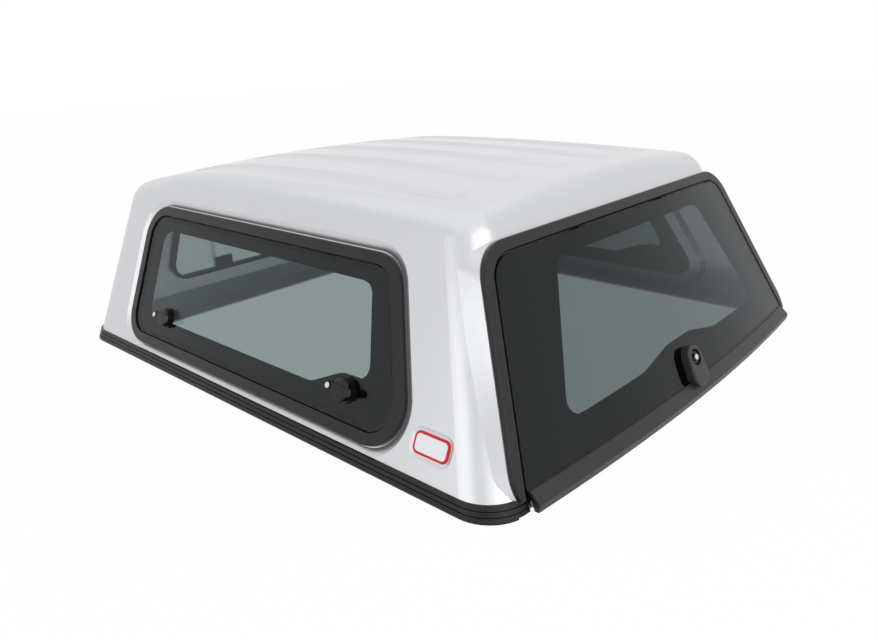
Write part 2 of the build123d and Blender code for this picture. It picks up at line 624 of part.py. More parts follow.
# Front window: a grooved frame through the wall, two fixed panes and a sliding one with its latch
fixed_track = front_plane.offset(-FRONT_TRACK - FRONT_GLASS)
slide_track = fixed_track.offset(-FRONT_TRACK - FRONT_GLASS)
groove = FRONT_GLASS + 2 * FRONT_GROOVE_GAP
with BuildPart() as front_window_frame:
    inner_face = front_plane.offset(FRONT_FLANGE - FRONT_FRAME_DEPTH)
    extrude(front_outline(inner_face, FRONT_FRAME_WIDTH), amount=FRONT_FRAME_DEPTH)
    extrude(front_outline(front_plane.offset(FRONT_GROOVE_GAP), FRONT_FRAME_WIDTH + FRONT_FLANGE_WIDTH),
            amount=FRONT_FLANGE - FRONT_GROOVE_GAP)
    extrude(front_outline(inner_face), amount=FRONT_FRAME_DEPTH, mode=Mode.SUBTRACT)
    for track in (fixed_track, slide_track):
        extrude(front_outline(track.offset(-FRONT_GROOVE_GAP), FRONT_GROOVE + FRONT_GROOVE_GAP), amount=groove,
                mode=Mode.SUBTRACT)
finish(front_window_frame, "front_window_frame")

with BuildPart() as front_pane:
    extrude(front_outline(fixed_track, FRONT_GROOVE), amount=FRONT_GLASS)
for side, cut, keep in (("left", -1, Keep.BOTTOM), ("right", 1, Keep.TOP)):
    with BuildPart() as fixed_pane:
        add(front_pane.part)
        split(bisect_by=Plane.YZ.offset(cut * (SLIDER_HALF - SLIDER_OVERLAP)), keep=keep)
    finish(fixed_pane, f"front_glass_{side}")

with BuildPart() as front_glass_slider:
    extrude(front_outline(slide_track, FRONT_GROOVE), amount=FRONT_GLASS)
    split(bisect_by=Plane.YZ.offset(SLIDER_HALF), keep=Keep.BOTTOM)
    split(bisect_by=Plane.YZ.offset(-SLIDER_HALF), keep=Keep.TOP)
finish(front_glass_slider, "front_glass_slider")

with BuildPart() as front_latch:
    with BuildSketch(slide_track):
        with Locations((-LATCH_X, FRONT_SILL_Z + SEAT_GAP)):
            Rectangle(LATCH_WIDTH, LATCH_HEIGHT, align=(Align.CENTER, Align.MIN))
    extrude(amount=-LATCH_DEPTH)
    fillet(front_latch.faces().sort_by(Axis.Y)[0].edges(), LATCH_DEPTH / 4)
finish(front_latch, "front_latch")

# Rear glass: one bowed pane, trimmed inside the surround's face
with BuildPart() as rear_glass:
    add(glass_band(0, glass_reach))
    extrude(glass_outline(rear_plane.offset(-REAR_REACH)), amount=4 * REAR_REACH, mode=Mode.INTERSECT)
    split(bisect_by=Plane.XY.offset(REAR_GLASS_LOW_Z), keep=Keep.TOP)
finish(rear_glass, "rear_glass")

# Rear rail: bowed like the glass, folded outside, with a slot that takes the glass's bottom edge
def swept_rail(*points):
    """One rail section, given as distances in from the glass's outer line and heights, along the bow."""
    with BuildPart() as rail:
        with BuildLine() as bow:
            ThreePointArc(*bow_arc(0, 0))
        path = bow.wires()[0]
        start = Plane(path @ 0, x_dir=Vector(0, 0, 1).cross(path % 0), z_dir=path % 0)
        with BuildSketch(start):
            with BuildLine():
                Polyline(*points, close=True)
            make_face()
        sweep(path=path)
    return rail.part


def between(piece, low_x, high_x):
    """The part of a piece between two upright planes across the canopy."""
    with BuildPart() as slice_part:
        add(piece)
        split(bisect_by=Plane.YZ.offset(low_x), keep=Keep.TOP)
        split(bisect_by=Plane.YZ.offset(high_x), keep=Keep.BOTTOM)
    return slice_part.part


rail_bar = swept_rail((-RAIL_FRONT, RAIL_LOW_Z), (-RAIL_FOLD, RAIL_FOLD_Z),
                      (REAR_SLOPE * RAIL_TOP_Z - RAIL_LIP, RAIL_TOP_Z),
                      (REAR_SLOPE * RAIL_TOP_Z + glass_reach / 2, RAIL_TOP_Z),
                      (REAR_SLOPE * RAIL_LOW_Z + glass_reach / 2, RAIL_LOW_Z))
rail_lip = swept_rail((REAR_SLOPE * RAIL_LOW_Z, RAIL_LOW_Z), (REAR_SLOPE * RAIL_LIP_Z, RAIL_LIP_Z),
                      (REAR_SLOPE * RAIL_LIP_Z + glass_reach + RAIL_LIP, RAIL_LIP_Z),
                      (REAR_SLOPE * RAIL_LOW_Z + glass_reach + RAIL_LIP, RAIL_LOW_Z))
with BuildPart() as glass_slot:
    add(glass_band(-RAIL_SLOT_GAP, glass_reach + RAIL_SLOT_GAP))
    split(bisect_by=Plane.XY.offset(REAR_GLASS_LOW_Z - RAIL_SLOT_GAP), keep=Keep.TOP)

with BuildPart() as rear_rail:
    add(between(rail_bar, -RAIL_HALF, RAIL_HALF))
    add(between(rail_lip, RAIL_LIP_END - RAIL_HALF, RAIL_HALF - RAIL_LIP_END))
    add(glass_slot.part, mode=Mode.SUBTRACT)
finish(rear_rail, "rear_rail")

for side, low_x in (("left", -RAIL_HALF - RAIL_CAP), ("right", RAIL_HALF)):
    with BuildPart() as rail_cap:
        add(between(rail_bar, low_x, low_x + RAIL_CAP))
        add(glass_slot.part, mode=Mode.SUBTRACT)
    finish(rail_cap, f"rear_rail_cap_{side}")

# Rear lock: a tower on the rail with a round pocket, a turning handle and its key barrel
lock_low = Vector(bow_arc(LOCK_LOW_Z, 0)[1]) + Vector(0, 0, LOCK_LOW_Z)
lock_middle = Vector(bow_arc(LOCK_Z, 0)[1]) + Vector(0, 0, LOCK_Z)
lock_normal = Vector(1, 0, 0).cross(lock_middle - lock_low)
lock_plane = Plane(lock_middle, x_dir=(1, 0, 0), z_dir=lock_normal).offset(SEAT_GAP)
pocket_floor = lock_plane.offset(LOCK_DEPTH - LOCK_POCKET_DEPTH)
rail_fold = Vector(bow_arc(0, -RAIL_FOLD)[1]) + Vector(0, 0, RAIL_FOLD_Z)
rail_crest = Vector(bow_arc(0, REAR_SLOPE * RAIL_TOP_Z - RAIL_LIP)[1]) + Vector(0, 0, RAIL_TOP_Z)
bevel_plane = Plane(rail_fold, x_dir=(1, 0, 0), z_dir=Vector(1, 0, 0).cross(rail_crest - rail_fold))
with BuildPart() as rear_lock_housing:
    with BuildSketch(lock_plane):
        foot = (LOCK_LOW_Z - LOCK_Z) / REAR_COS
        head = (LOCK_TOP_Z - LOCK_Z) / REAR_COS
        with BuildLine():
            Polyline((-LOCK_HALF_BASE, foot), (LOCK_HALF_BASE, foot), (LOCK_HALF_TOP, head),
                     (-LOCK_HALF_TOP, head), close=True)
        make_face()
        fillet(vertices().group_by(Axis.Z)[-1], LOCK_HALF_TOP - SEAT_GAP)
    extrude(amount=LOCK_DEPTH)
    split(bisect_by=bevel_plane.offset(SEAT_GAP), keep=Keep.TOP)
    split(bisect_by=Plane.XY.offset(LOCK_LOW_Z), keep=Keep.TOP)
    outline = rear_lock_housing.edges().filter_by(lambda edge: on_level(edge, lock_plane, LOCK_DEPTH))
    fillet([edge for edge in outline if edge.center().Z > LOCK_LOW_Z + LOCK_EDGE_R], LOCK_EDGE_R)
    with BuildSketch(pocket_floor):
        Circle(LOCK_POCKET_R)
    extrude(amount=LOCK_DEPTH, mode=Mode.SUBTRACT)
    with BuildSketch(lock_plane):
        Circle(HANDLE_SHAFT_R + KNOB_GAP)
    extrude(amount=LOCK_DEPTH, mode=Mode.SUBTRACT)
finish(rear_lock_housing, "rear_lock_housing")

handle_plane = pocket_floor.offset(KNOB_GAP)
handle_top = HANDLE_HEIGHT + HANDLE_WING_HEIGHT
with BuildPart() as rear_handle:
    with BuildSketch(handle_plane):
        Circle(HANDLE_R)
    extrude(amount=HANDLE_HEIGHT)
    with BuildSketch(handle_plane):
        SlotOverall(2 * HANDLE_R - KNOB_GAP, HANDLE_WING_WIDTH)
        Circle(KEY_R + KEY_BOSS_WALL)
    extrude(amount=handle_top)
    with BuildSketch(handle_plane):
        Circle(HANDLE_SHAFT_R)
    extrude(amount=LOCK_POCKET_DEPTH - LOCK_DEPTH)
    with BuildSketch(handle_plane.offset(KEY_PROUD)):
        Circle(KEY_R + KEY_BORE_CLEARANCE)
    extrude(amount=handle_top, mode=Mode.SUBTRACT)
finish(rear_handle, "rear_handle")

with BuildPart() as rear_lock_barrel:
    with BuildSketch(handle_plane.offset(KEY_PROUD)):
        Circle(KEY_R)
    extrude(amount=handle_top)
    chamfer(rear_lock_barrel.edges().filter_by(GeomType.CIRCLE).sort_by(Axis.Z)[-1:], KNOB_GAP)
finish(rear_lock_barrel, "rear_lock_barrel")

# Door hinges: a leaf on the surround's seat with two posts and a pin, and an arm on the inside of the glass
for side, hinge_x in (("left", -HINGE_X), ("right", HINGE_X)):
    hinge_plane = Plane(rear_plane.from_local_coords((hinge_x, 0, 0)), x_dir=rear_plane.y_dir, z_dir=(1, 0, 0))
    post_start = HINGE_ARM_WIDTH / 2 + HINGE_SIDE_GAP
    leaf_top = SURROUND_LIP + HINGE_PLATE
    with BuildPart() as door_hinge:
        with BuildSketch(hinge_plane.offset(-HINGE_LEAF_WIDTH / 2)):
            with BuildLine():
                Polyline((HINGE_LEAF_LOW, SURROUND_LIP), (HINGE_UP + HINGE_BARREL_R, SURROUND_LIP),
                         (HINGE_UP + HINGE_BARREL_R, leaf_top), (HINGE_LEAF_LOW, leaf_top), close=True)
            make_face()
        extrude(amount=HINGE_LEAF_WIDTH)
        for start in (-post_start - HINGE_POST, post_start):
            with BuildSketch(hinge_plane.offset(start)):
                with Locations((HINGE_UP, (leaf_top + HINGE_OUT) / 2 - SEAT_GAP)):
                    Rectangle(2 * HINGE_BARREL_R, HINGE_OUT - leaf_top + 2 * SEAT_GAP)
                with Locations((HINGE_UP, HINGE_OUT)):
                    Circle(HINGE_BARREL_R)
            extrude(amount=HINGE_POST)
        with BuildSketch(hinge_plane.offset(-post_start - HINGE_POST)):
            with Locations((HINGE_UP, HINGE_OUT)):
                Circle(HINGE_PIN_R)
        extrude(amount=2 * (post_start + HINGE_POST))
    finish(door_hinge, f"door_hinge_{side}")

    with BuildPart() as hinge_arm:
        edge_up = SURROUND_TOP - SURROUND_FACE - DOOR_EDGE_GAP
        glass_w = SURROUND_LIP + DOOR_SEAT_GAP + GLASS_BOW_HIGH * REAR_COS
        with BuildSketch(hinge_plane.offset(-HINGE_ARM_WIDTH / 2)):
            with BuildLine():
                Polyline((edge_up - HINGE_ARM_LENGTH, glass_w), (edge_up, glass_w),
                         (HINGE_UP + HINGE_BARREL_R, HINGE_OUT), (HINGE_UP - HINGE_BARREL_R, HINGE_OUT),
                         (edge_up - 3 * HINGE_PLATE, glass_w - 2 * HINGE_PLATE),
                         (edge_up - HINGE_ARM_LENGTH, glass_w - 2 * HINGE_PLATE), close=True)
            make_face()
            with Locations((HINGE_UP, HINGE_OUT)):
                Circle(HINGE_BARREL_R)
                Circle(HINGE_PIN_R + HINGE_PIN_CLEARANCE, mode=Mode.SUBTRACT)
        extrude(amount=HINGE_ARM_WIDTH)
        add(behind_glass, mode=Mode.INTERSECT)
    finish(hinge_arm, f"hinge_arm_{side}")
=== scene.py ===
# %% [markdown]
# # A pickup truck canopy, dressed for its picture
#
# The canopy is a glass fibre moulding that bolts on to a pickup's tub. The frame below brings in every
# solid piece at its true size, in metres, with +Y towards the cab and +Z up. What is left to do here is
# the finish of each piece, the printed borders of the glass, two badge plates, the foot of the front
# wall, the light and the camera.

# %% Load the frame
import math

import bpy
import bmesh
from mathutils import Matrix, Vector
from mathutils.bvhtree import BVHTree


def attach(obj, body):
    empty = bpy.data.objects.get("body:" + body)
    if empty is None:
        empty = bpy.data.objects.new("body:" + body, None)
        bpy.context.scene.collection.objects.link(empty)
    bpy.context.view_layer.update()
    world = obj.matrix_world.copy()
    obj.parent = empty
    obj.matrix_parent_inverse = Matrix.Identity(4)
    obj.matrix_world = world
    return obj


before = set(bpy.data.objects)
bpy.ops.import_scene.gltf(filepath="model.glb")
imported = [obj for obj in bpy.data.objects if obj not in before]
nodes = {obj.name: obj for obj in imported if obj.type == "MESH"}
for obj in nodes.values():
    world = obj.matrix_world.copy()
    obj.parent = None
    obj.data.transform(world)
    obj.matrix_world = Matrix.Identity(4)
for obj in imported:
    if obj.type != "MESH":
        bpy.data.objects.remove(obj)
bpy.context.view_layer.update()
SIDES = ("left", "right")
ENDS = ("front", "rear")

# %% [markdown]
# ## A few helpers
#
# Colours are chosen as sRGB hex values, because that is how a paint card or a picture gives them, and
# Blender's shaders want linear light, so one function turns the one into the other. Materials are built
# from nodes, and one small function adds a node, sets its values and joins its inputs.

# %% Colour and node helpers


def linear(hex_colour):
    """An sRGB hex colour as linear red, green, blue and alpha."""
    channels = [int(hex_colour[i:i + 2], 16) / 255 for i in (1, 3, 5)]
    curve = [c / 12.92 if c <= 0.04045 else ((c + 0.055) / 1.055) ** 2.4 for c in channels]
    return (*curve, 1.0)


def add_node(tree, kind, values=None, links=None, **settings):
    """One shader node with its settings, its socket values and its incoming links."""
    node = tree.nodes.new(kind)
    for name, value in settings.items():
        setattr(node, name, value)
    for socket, value in (values or {}).items():
        node.inputs[socket].default_value = value
    for socket, source in (links or {}).items():
        tree.links.new(source, node.inputs[socket])
    return node


def finish_material(name):
    """A new material with its node tree and its main shader, ready for its values."""
    material = bpy.data.materials.new(name)
    material.use_nodes = True
    tree = material.node_tree
    return material, tree, tree.nodes["Principled BSDF"]


def wear(node_name, material):
    """Puts one material on a solid piece of the frame."""
    mesh = nodes[node_name].data
    mesh.materials.clear()
    mesh.materials.append(material)


print("helpers ready")

# %% [markdown]
# ## Silver paint on glass fibre
#
# The shell is sprayed with a silver base coat full of aluminium flake and then with clear lacquer. The
# flake makes it partly metallic with a broad, soft highlight, so metallic is high and the roughness is a
# third. The lacquer over it adds a thin, sharper highlight, which the coat inputs give.

# %% Silver paint
PAINT = "#cdced1"
paint, _, shader = finish_material("silver_metallic_paint_under_lacquer")
shader.inputs["Base Color"].default_value = linear(PAINT)
shader.inputs["Metallic"].default_value = 0.85
shader.inputs["Roughness"].default_value = 0.34
shader.inputs["Coat Weight"].default_value = 0.35
shader.inputs["Coat Roughness"].default_value = 0.12
wear("shell", paint)
print("painted the shell", PAINT)

# %% [markdown]
# ## Black rubber, powder coat and mouldings
#
# The base strip is extruded rubber with a sheen, and the softer seals are dull. The window frames are
# powder coated aluminium, and the surround and the knobs are moulded plastic, all a little glossier than
# the strip. The rail, its lock, its end caps and the hinges are satin. A grain this fine doesn't show from
# here, so each finish is one even colour and a roughness. Each black is a very dark grey, because no real
# black surface returns nothing, and each shines a little less than the shader's usual plastic.

# %% Black finishes
SHINE = 0.32


def plain_finish(name, colour, roughness):
    """A finish of one even colour, such as rubber, powder coat, moulded plastic or enamel."""
    material, _, shader = finish_material(name)
    shader.inputs["Base Color"].default_value = linear(colour)
    shader.inputs["Roughness"].default_value = roughness
    shader.inputs["Specular IOR Level"].default_value = SHINE
    return material


def on_both_sides(*names):
    """The left and the right piece of each name."""
    return [f"{name}_{side}" for side in SIDES for name in names]


knobs = on_both_sides(*[f"{part}_{end}" for part in ("knob_ring", "knob") for end in ENDS])
window_frames = ["front_window_frame", *on_both_sides("window_frame")]
BLACK_FINISHES = (
    ("extruded_black_rubber", "#0d0d0e", 0.36, ["base_seal"]),
    ("soft_black_seal_rubber", "#101011", 0.75, ["rear_seal", *on_both_sides("window_seal")]),
    ("black_powder_coat_on_aluminium", "#151516", 0.3, window_frames),
    ("satin_black_moulding", "#1b1b1d", 0.3, ["rear_surround"]),
    ("black_nylon_moulding", "#0c0c0d", 0.28, ["rear_handle", "front_latch", *knobs]),
    ("satin_grey_powder_coat", "#2b2b2d", 0.42, ["rear_rail"]),
    ("satin_grey_moulding", "#2c2c2e", 0.38, ["rear_lock_housing"]),
    ("black_end_cap_moulding", "#131314", 0.4, on_both_sides("rear_rail_cap")),
    ("black_coated_steel", "#161617", 0.4, on_both_sides("door_hinge", "hinge_arm")),
)
for name, colour, roughness, pieces in BLACK_FINISHES:
    black = plain_finish(name, colour, roughness)
    for piece in pieces:
        wear(piece, black)
    print(name, "on", len(pieces), "pieces")

# %% [markdown]
# ## Chrome key barrels
#
# The key barrels are turned brass with bright chrome, the only shiny metal on the canopy. Chrome is
# fully metallic, and a low roughness keeps its small faces bright at every angle.

# %% Chrome
chrome, _, shader = finish_material("bright_chrome_on_brass")
shader.inputs["Base Color"].default_value = linear("#d6d6d8")
shader.inputs["Metallic"].default_value = 1.0
shader.inputs["Roughness"].default_value = 0.14
barrels = ["rear_lock_barrel", *on_both_sides("key_barrel_front", "key_barrel_rear")]
for name in barrels:
    wear(name, chrome)
print("chromed", len(barrels), "key barrels")

# %% [markdown]
# ## Glass
#
# The rear and side panes are toughened glass tinted a dark grey green, 5 mm thick, and the front panes
# are nearly clear. Blender's own glass shader would bend the light as well, but a shift through 5 mm
# doesn't show from here. A pane reflects the studio more and more strongly as it is seen at a slant, so
# each face is a see-through layer mixed with a sharp reflection: 4 percent of it seen square on, rising to
# all of it at a grazing angle. Light passes two faces, so each tint is for one face and counts twice.

# %% Tinted glass
SQUARE_ON = 0.04
SLANT_POWER = 5.0
POLISH = 0.015
REFLECTION = "#d2d3d5"


def tinted_glass(name, tint):
    """Glass that dims what is seen through it once at each face, and reflects by the angle of view."""
    material = bpy.data.materials.new(name)
    material.use_nodes = True
    tree = material.node_tree
    tree.nodes.remove(tree.nodes["Principled BSDF"])
    through = add_node(tree, "ShaderNodeBsdfTransparent", {"Color": linear(tint)})
    gloss = add_node(tree, "ShaderNodeBsdfGlossy", {"Color": linear(REFLECTION), "Roughness": POLISH})
    facing = add_node(tree, "ShaderNodeLayerWeight", {"Blend": 0.5})
    rise = add_node(tree, "ShaderNodeMath", {1: SLANT_POWER}, {0: facing.outputs["Facing"]},
                    operation="POWER")
    share = add_node(tree, "ShaderNodeMath", {1: 1 - SQUARE_ON, 2: SQUARE_ON}, {0: rise.outputs[0]},
                     operation="MULTIPLY_ADD")
    layers = {0: share.outputs[0], 1: through.outputs[0], 2: gloss.outputs[0]}
    mix = add_node(tree, "ShaderNodeMixShader", links=layers)
    tree.links.new(mix.outputs[0], tree.nodes["Material Output"].inputs["Surface"])
    return material


GLASSES = (
    ("grey_tinted_side_glass", "#bbc3c4", on_both_sides("window_glass")),
    ("dark_grey_tinted_rear_glass", "#a1aaab", ["rear_glass"]),
    ("clear_toughened_glass", "#ecf0ef", ["front_glass_slider", *on_both_sides("front_glass")]),
)
for name, tint, panes in GLASSES:
    glass = tinted_glass(name, tint)
    for pane in panes:
        wear(pane, glass)
    print(name, "in", len(panes), "panes")

# %% [markdown]
# ## The printed borders
#
# A ceramic border is screen printed on the inside of each pane and fired with it. It hides the seals and
# the bonding, and leaves a clear middle with rounded corners, whose lower edge rises over the knob or the
# lock. Each border here is a thin sheet that lies just inside the pane: it runs from the pane's edge to
# the clear middle, in rings that are dropped on to the pane's inner face, so that it follows the bow of
# the rear glass. A modelled sheet keeps a sharp edge at any distance, which a painted picture would not.

# %% Outline helpers
CORNER_STEPS = 10


def rounded(points, radii, steps=CORNER_STEPS):
    """A closed outline with each corner rounded by its own radius."""
    outline = []
    count = len(points)
    for i, (point, radius) in enumerate(zip(points, radii)):
        here = Vector(point)
        before = (Vector(points[i - 1]) - here).normalized()
        after = (Vector(points[(i + 1) % count]) - here).normalized()
        half = before.angle(after) / 2
        reach = radius / math.tan(half)
        centre = here + (before + after).normalized() * (radius / math.sin(half))
        start = here + before * reach - centre
        turn = math.pi - 2 * half
        sign = 1 if before.x * after.y - before.y * after.x < 0 else -1
        for k in range(steps + 1):
            angle = sign * turn * k / steps
            spun = Vector((start.x * math.cos(angle) - start.y * math.sin(angle),
                           start.x * math.sin(angle) + start.y * math.cos(angle)))
            outline.append(centre + spun)
    return outline


def crossing(outline, centre, angle):
    """Where a ray from the centre at one angle first meets a closed outline."""
    way = Vector((math.cos(angle), math.sin(angle)))
    slack = 1e-6
    nearest = None
    for i, start in enumerate(outline):
        edge = outline[(i + 1) % len(outline)] - start
        cross = way.x * edge.y - way.y * edge.x
        if cross == 0:
            continue
        offset = start - centre
        along = (offset.x * edge.y - offset.y * edge.x) / cross
        share = (offset.x * way.y - offset.y * way.x) / cross
        if along > 0 and -slack <= share <= 1 + slack and (nearest is None or along < nearest):
            nearest = along
    return centre + way * nearest


print("a corner is rounded in", CORNER_STEPS, "steps")

# %% Piece and border builders
PRINT_GAP = 0.0004
DROP = 0.2
SPOKES = 240


def make_piece(name, vertices, faces, material, body):
    """A mesh object in the frame, with its finish, that moves with one body."""
    mesh = bpy.data.meshes.new(name)
    mesh.from_pydata([tuple(v) for v in vertices], [], faces)
    mesh.materials.append(material)
    mesh.update()
    piece = bpy.data.objects.new(name, mesh)
    bpy.context.scene.collection.objects.link(piece)
    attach(piece, body)
    return piece


def surface_of(node_name):
    """A search tree over one solid piece, for dropping points on to it."""
    mesh = nodes[node_name].data
    return BVHTree.FromPolygons([v.co[:] for v in mesh.vertices], [p.vertices[:] for p in mesh.polygons])


def printed_border(name, pane_name, on_plane, inward, outer, clear, centre, rings, body):
    """A thin sheet between two outlines on a plane, dropped outwards on to a pane's inner face."""
    pane = surface_of(pane_name)
    vertices = []
    for k in range(SPOKES):
        angle = 2 * math.pi * k / SPOKES
        near, far = crossing(clear, centre, angle), crossing(outer, centre, angle)
        for ring in range(rings + 1):
            flat = near.lerp(far, ring / rings)
            spot = on_plane(flat.x, flat.y)
            hit = pane.ray_cast(spot + inward * DROP, -inward)[0]
            vertices.append((spot if hit is None else hit) + inward * PRINT_GAP)
    row = rings + 1
    faces = []
    for k in range(SPOKES):
        here, there = k * row, (k + 1) % SPOKES * row
        faces += [(here + ring, there + ring, there + ring + 1, here + ring + 1) for ring in range(rings)]
    return make_piece(name, vertices, faces, border_print, body)


border_print = plain_finish("fired_black_ceramic_print", "#171819", 0.6)
print("a border lies", PRINT_GAP * 1000, "mm inside its pane")

# %% [markdown]
# ### Side window borders
#
# The side walls lean in by 24.2 degrees. A point on a wall is given by its place along the canopy and its
# height up the slope, so that one pair of outlines serves both sides.

# %% Side window borders
WALL_LEAN = math.radians(24.2)
WALL_FOOT_X = 0.76452
SHELL_FOOT = 0.004
SIDE_RINGS = 6


def side_wall(side):
    """A function that places points on one leaning side wall, and the wall's outward way."""
    sign = 1 if side == "right" else -1
    foot = Vector((sign * WALL_FOOT_X, 0, SHELL_FOOT))
    up = Vector((-sign * math.sin(WALL_LEAN), 0, math.cos(WALL_LEAN)))
    out = Vector((sign * math.cos(WALL_LEAN), 0, math.sin(WALL_LEAN)))

    def on_wall(along, rise):
        return foot + up * rise + Vector((0, along, 0))

    return on_wall, out


side_pane = rounded([(-0.5243, 0.075), (0.6162, 0.075), (0.6425, 0.427), (-0.3869, 0.427)], [0.064] * 4)
side_clear = rounded(
    [(-0.403, 0.172), (-0.315, 0.177), (-0.215, 0.129), (0.555, 0.129), (0.575, 0.388), (-0.337, 0.388)],
    [0.028, 0.06, 0.06, 0.035, 0.035, 0.035])
side_middle = Vector((0.08, 0.25))
for side in SIDES:
    on_wall, out = side_wall(side)
    printed_border(f"window_print_{side}", f"window_glass_{side}", on_wall, -out, side_pane, side_clear,
                   side_middle, SIDE_RINGS, "canopy")
print("printed", len(SIDES), "side windows")

# %% [markdown]
# ### Rear glass border
#
# The rear face leans forward by 25 degrees. Its outlines lie on the flat face behind the bowed glass, and
# dropping them outwards on to the glass gives them its bow.

# %% Rear glass border
REAR_RAKE = math.radians(25)
REAR_FOOT = Vector((0, -0.813975, SHELL_FOOT))
REAR_UP = Vector((0, math.sin(REAR_RAKE), math.cos(REAR_RAKE)))
REAR_OUT = Vector((0, -math.cos(REAR_RAKE), math.sin(REAR_RAKE)))
REAR_RINGS = 8


def on_rear(across, rise):
    """A point on the raked rear face, by its place across and its height up the slope."""
    return REAR_FOOT + REAR_UP * rise + Vector((across, 0, 0))


def mirrored(points):
    """The mirror image of some points of an outline, in the order that carries the outline on."""
    return [(-x, rise) for x, rise in reversed(points)]


rear_pane = rounded([(-0.673, 0.012), (0.673, 0.012), (0.517, 0.472), (-0.517, 0.472)],
                    [0.004, 0.004, 0.065, 0.065])
left_foot = [(-0.489, 0.108), (-0.19, 0.108), (-0.06, 0.135)]
rear_clear = rounded([*left_foot, *mirrored(left_foot), (0.341, 0.43), (-0.341, 0.43)],
                     [0.03, 0.2, 0.1, 0.1, 0.2, 0.03, 0.045, 0.045])
rear_middle = Vector((0.0, 0.27))
printed_border("rear_glass_print", "rear_glass", on_rear, -REAR_OUT, rear_pane, rear_clear, rear_middle,
               REAR_RINGS, "rear_door")
print("printed the rear glass")

# %% [markdown]
# ## Badge plates
#
# A small plate sits in the shallow recess of each side wall, behind the window: a white enamel field in a
# thin red enamel rim, with rounded corners and an eased edge. A bevel would ease the glued edge too, so
# each is a closed slab that is stacked up from outlines instead.

# %% Slab builder
BADGE_STEPS = 6


def turn_outwards(piece, merge=0.0):
    """Points a closed mesh's faces outwards, after joining its doubles where a distance is given."""
    build = bmesh.new()
    build.from_mesh(piece.data)
    if merge:
        bmesh.ops.remove_doubles(build, verts=build.verts, dist=merge)
        bmesh.ops.dissolve_degenerate(build, edges=build.edges, dist=merge)
        bmesh.ops.holes_fill(build, edges=build.edges)
    bmesh.ops.recalc_face_normals(build, faces=build.faces)
    build.to_mesh(piece.data)
    build.free()


def slab(name, outlines, levels, side, material):
    """A closed plate on one side wall, through a stack of outlines, each at its own height in metres."""
    on_wall, out = side_wall(side)
    count = len(outlines[0])
    vertices = [on_wall(point.x, point.y) + out * level
                for outline, level in zip(outlines, levels) for point in outline]
    faces = []
    for row in range(len(outlines) - 1):
        low, high = row * count, (row + 1) * count
        faces += [(low + k, low + (k + 1) % count, high + (k + 1) % count, high + k) for k in range(count)]
    faces.append(tuple(reversed(range(count))))
    faces.append(tuple(range((len(outlines) - 1) * count, len(outlines) * count)))
    turn_outwards(make_piece(name, vertices, faces, material, "canopy"))


def box_outline(centre, length, height, radius):
    """A rounded rectangle round a centre."""
    x, y = centre
    half, rise = length / 2, height / 2
    corners = [(x - half, y - rise), (x + half, y - rise), (x + half, y + rise), (x - half, y + rise)]
    return rounded(corners, [radius] * 4, BADGE_STEPS)


print("a plate's corner is rounded in", BADGE_STEPS, "steps")

# %% Badge plates
BADGE_CENTRE = (-0.617, 0.100)
BADGE_FLOOR = -0.0025
RIM_LENGTH, RIM_HEIGHT, RIM_CORNER = 0.094, 0.048, 0.014
RIM_SHOULDER, RIM_TOP = 0.0022, 0.003
FIELD_LENGTH, FIELD_HEIGHT, FIELD_CORNER = 0.083, 0.037, 0.009
FIELD_FOOT, FIELD_TOP = 0.0028, 0.0033
field_finish = plain_finish("white_enamel", "#e4e4e6", 0.25)
rim_finish = plain_finish("red_enamel", "#c4161c", 0.3)
rim_outlines = [box_outline(BADGE_CENTRE, RIM_LENGTH - 2 * ease, RIM_HEIGHT - 2 * ease, RIM_CORNER - ease)
                for ease in (0.0, 0.0, RIM_TOP - RIM_SHOULDER)]
rim_levels = [BADGE_FLOOR + level for level in (0.0, RIM_SHOULDER, RIM_TOP)]
field_outline = box_outline(BADGE_CENTRE, FIELD_LENGTH, FIELD_HEIGHT, FIELD_CORNER)
field_levels = [BADGE_FLOOR + level for level in (FIELD_FOOT, FIELD_TOP)]
for side in SIDES:
    slab(f"badge_rim_{side}", rim_outlines, rim_levels, side, rim_finish)
    slab(f"badge_field_{side}", [field_outline] * 2, field_levels, side, field_finish)
print("fitted", len(SIDES), "badge plates")

# %% [markdown]
# ## The foot of the front wall
#
# The solid shell's front wall stops a few centimetres short of its base flange, along a slanting cut. A
# strip of the same painted moulding carries the wall down to the flange and round both front corners,
# flush with the shell on both faces. Its section changes round the corner, where the cut runs out, so the
# section is worked out at each station and the stations are joined into one closed strip.

# %% Section of the front wall's foot
WALL = 0.005
FLANGE_TOP = SHELL_FOOT + WALL
CORNER_RADIUS = 0.075
CORNER_Y = 0.786
CUT_Y, CUT_Z, CUT_SLOPE = 0.8588, 0.070, 0.3179
inner_radius = CORNER_RADIUS - WALL


def cut_y(z):
    """How far forward the slanting cut lies at one height."""
    return CUT_Y + (z - CUT_Z) * CUT_SLOPE


def cut_reach(turn, z):
    """How far from the corner's centre the cut passes, at one turn round the corner and one height."""
    return (cut_y(z) - CORNER_Y) / math.sin(turn)


def cut_height(turn, reach):
    """How high the cut meets a face that lies at one reach from the corner's centre."""
    return CUT_Z + (CORNER_Y + reach * math.sin(turn) - CUT_Y) / CUT_SLOPE


def foot_section(turn):
    """The missing section of wall and flange at one turn round the corner, as reach and height."""
    top, inner_top = cut_height(turn, CORNER_RADIUS), cut_height(turn, inner_radius)
    if inner_top > FLANGE_TOP:
        knee = (inner_radius, inner_top)
        heel = (min(cut_reach(turn, FLANGE_TOP), inner_radius), FLANGE_TOP)
    else:
        low = min(FLANGE_TOP, top)
        knee = heel = (cut_reach(turn, low), low)
    return [(CORNER_RADIUS, SHELL_FOOT), (CORNER_RADIUS, top), knee, heel,
            (cut_reach(turn, SHELL_FOOT), SHELL_FOOT)]


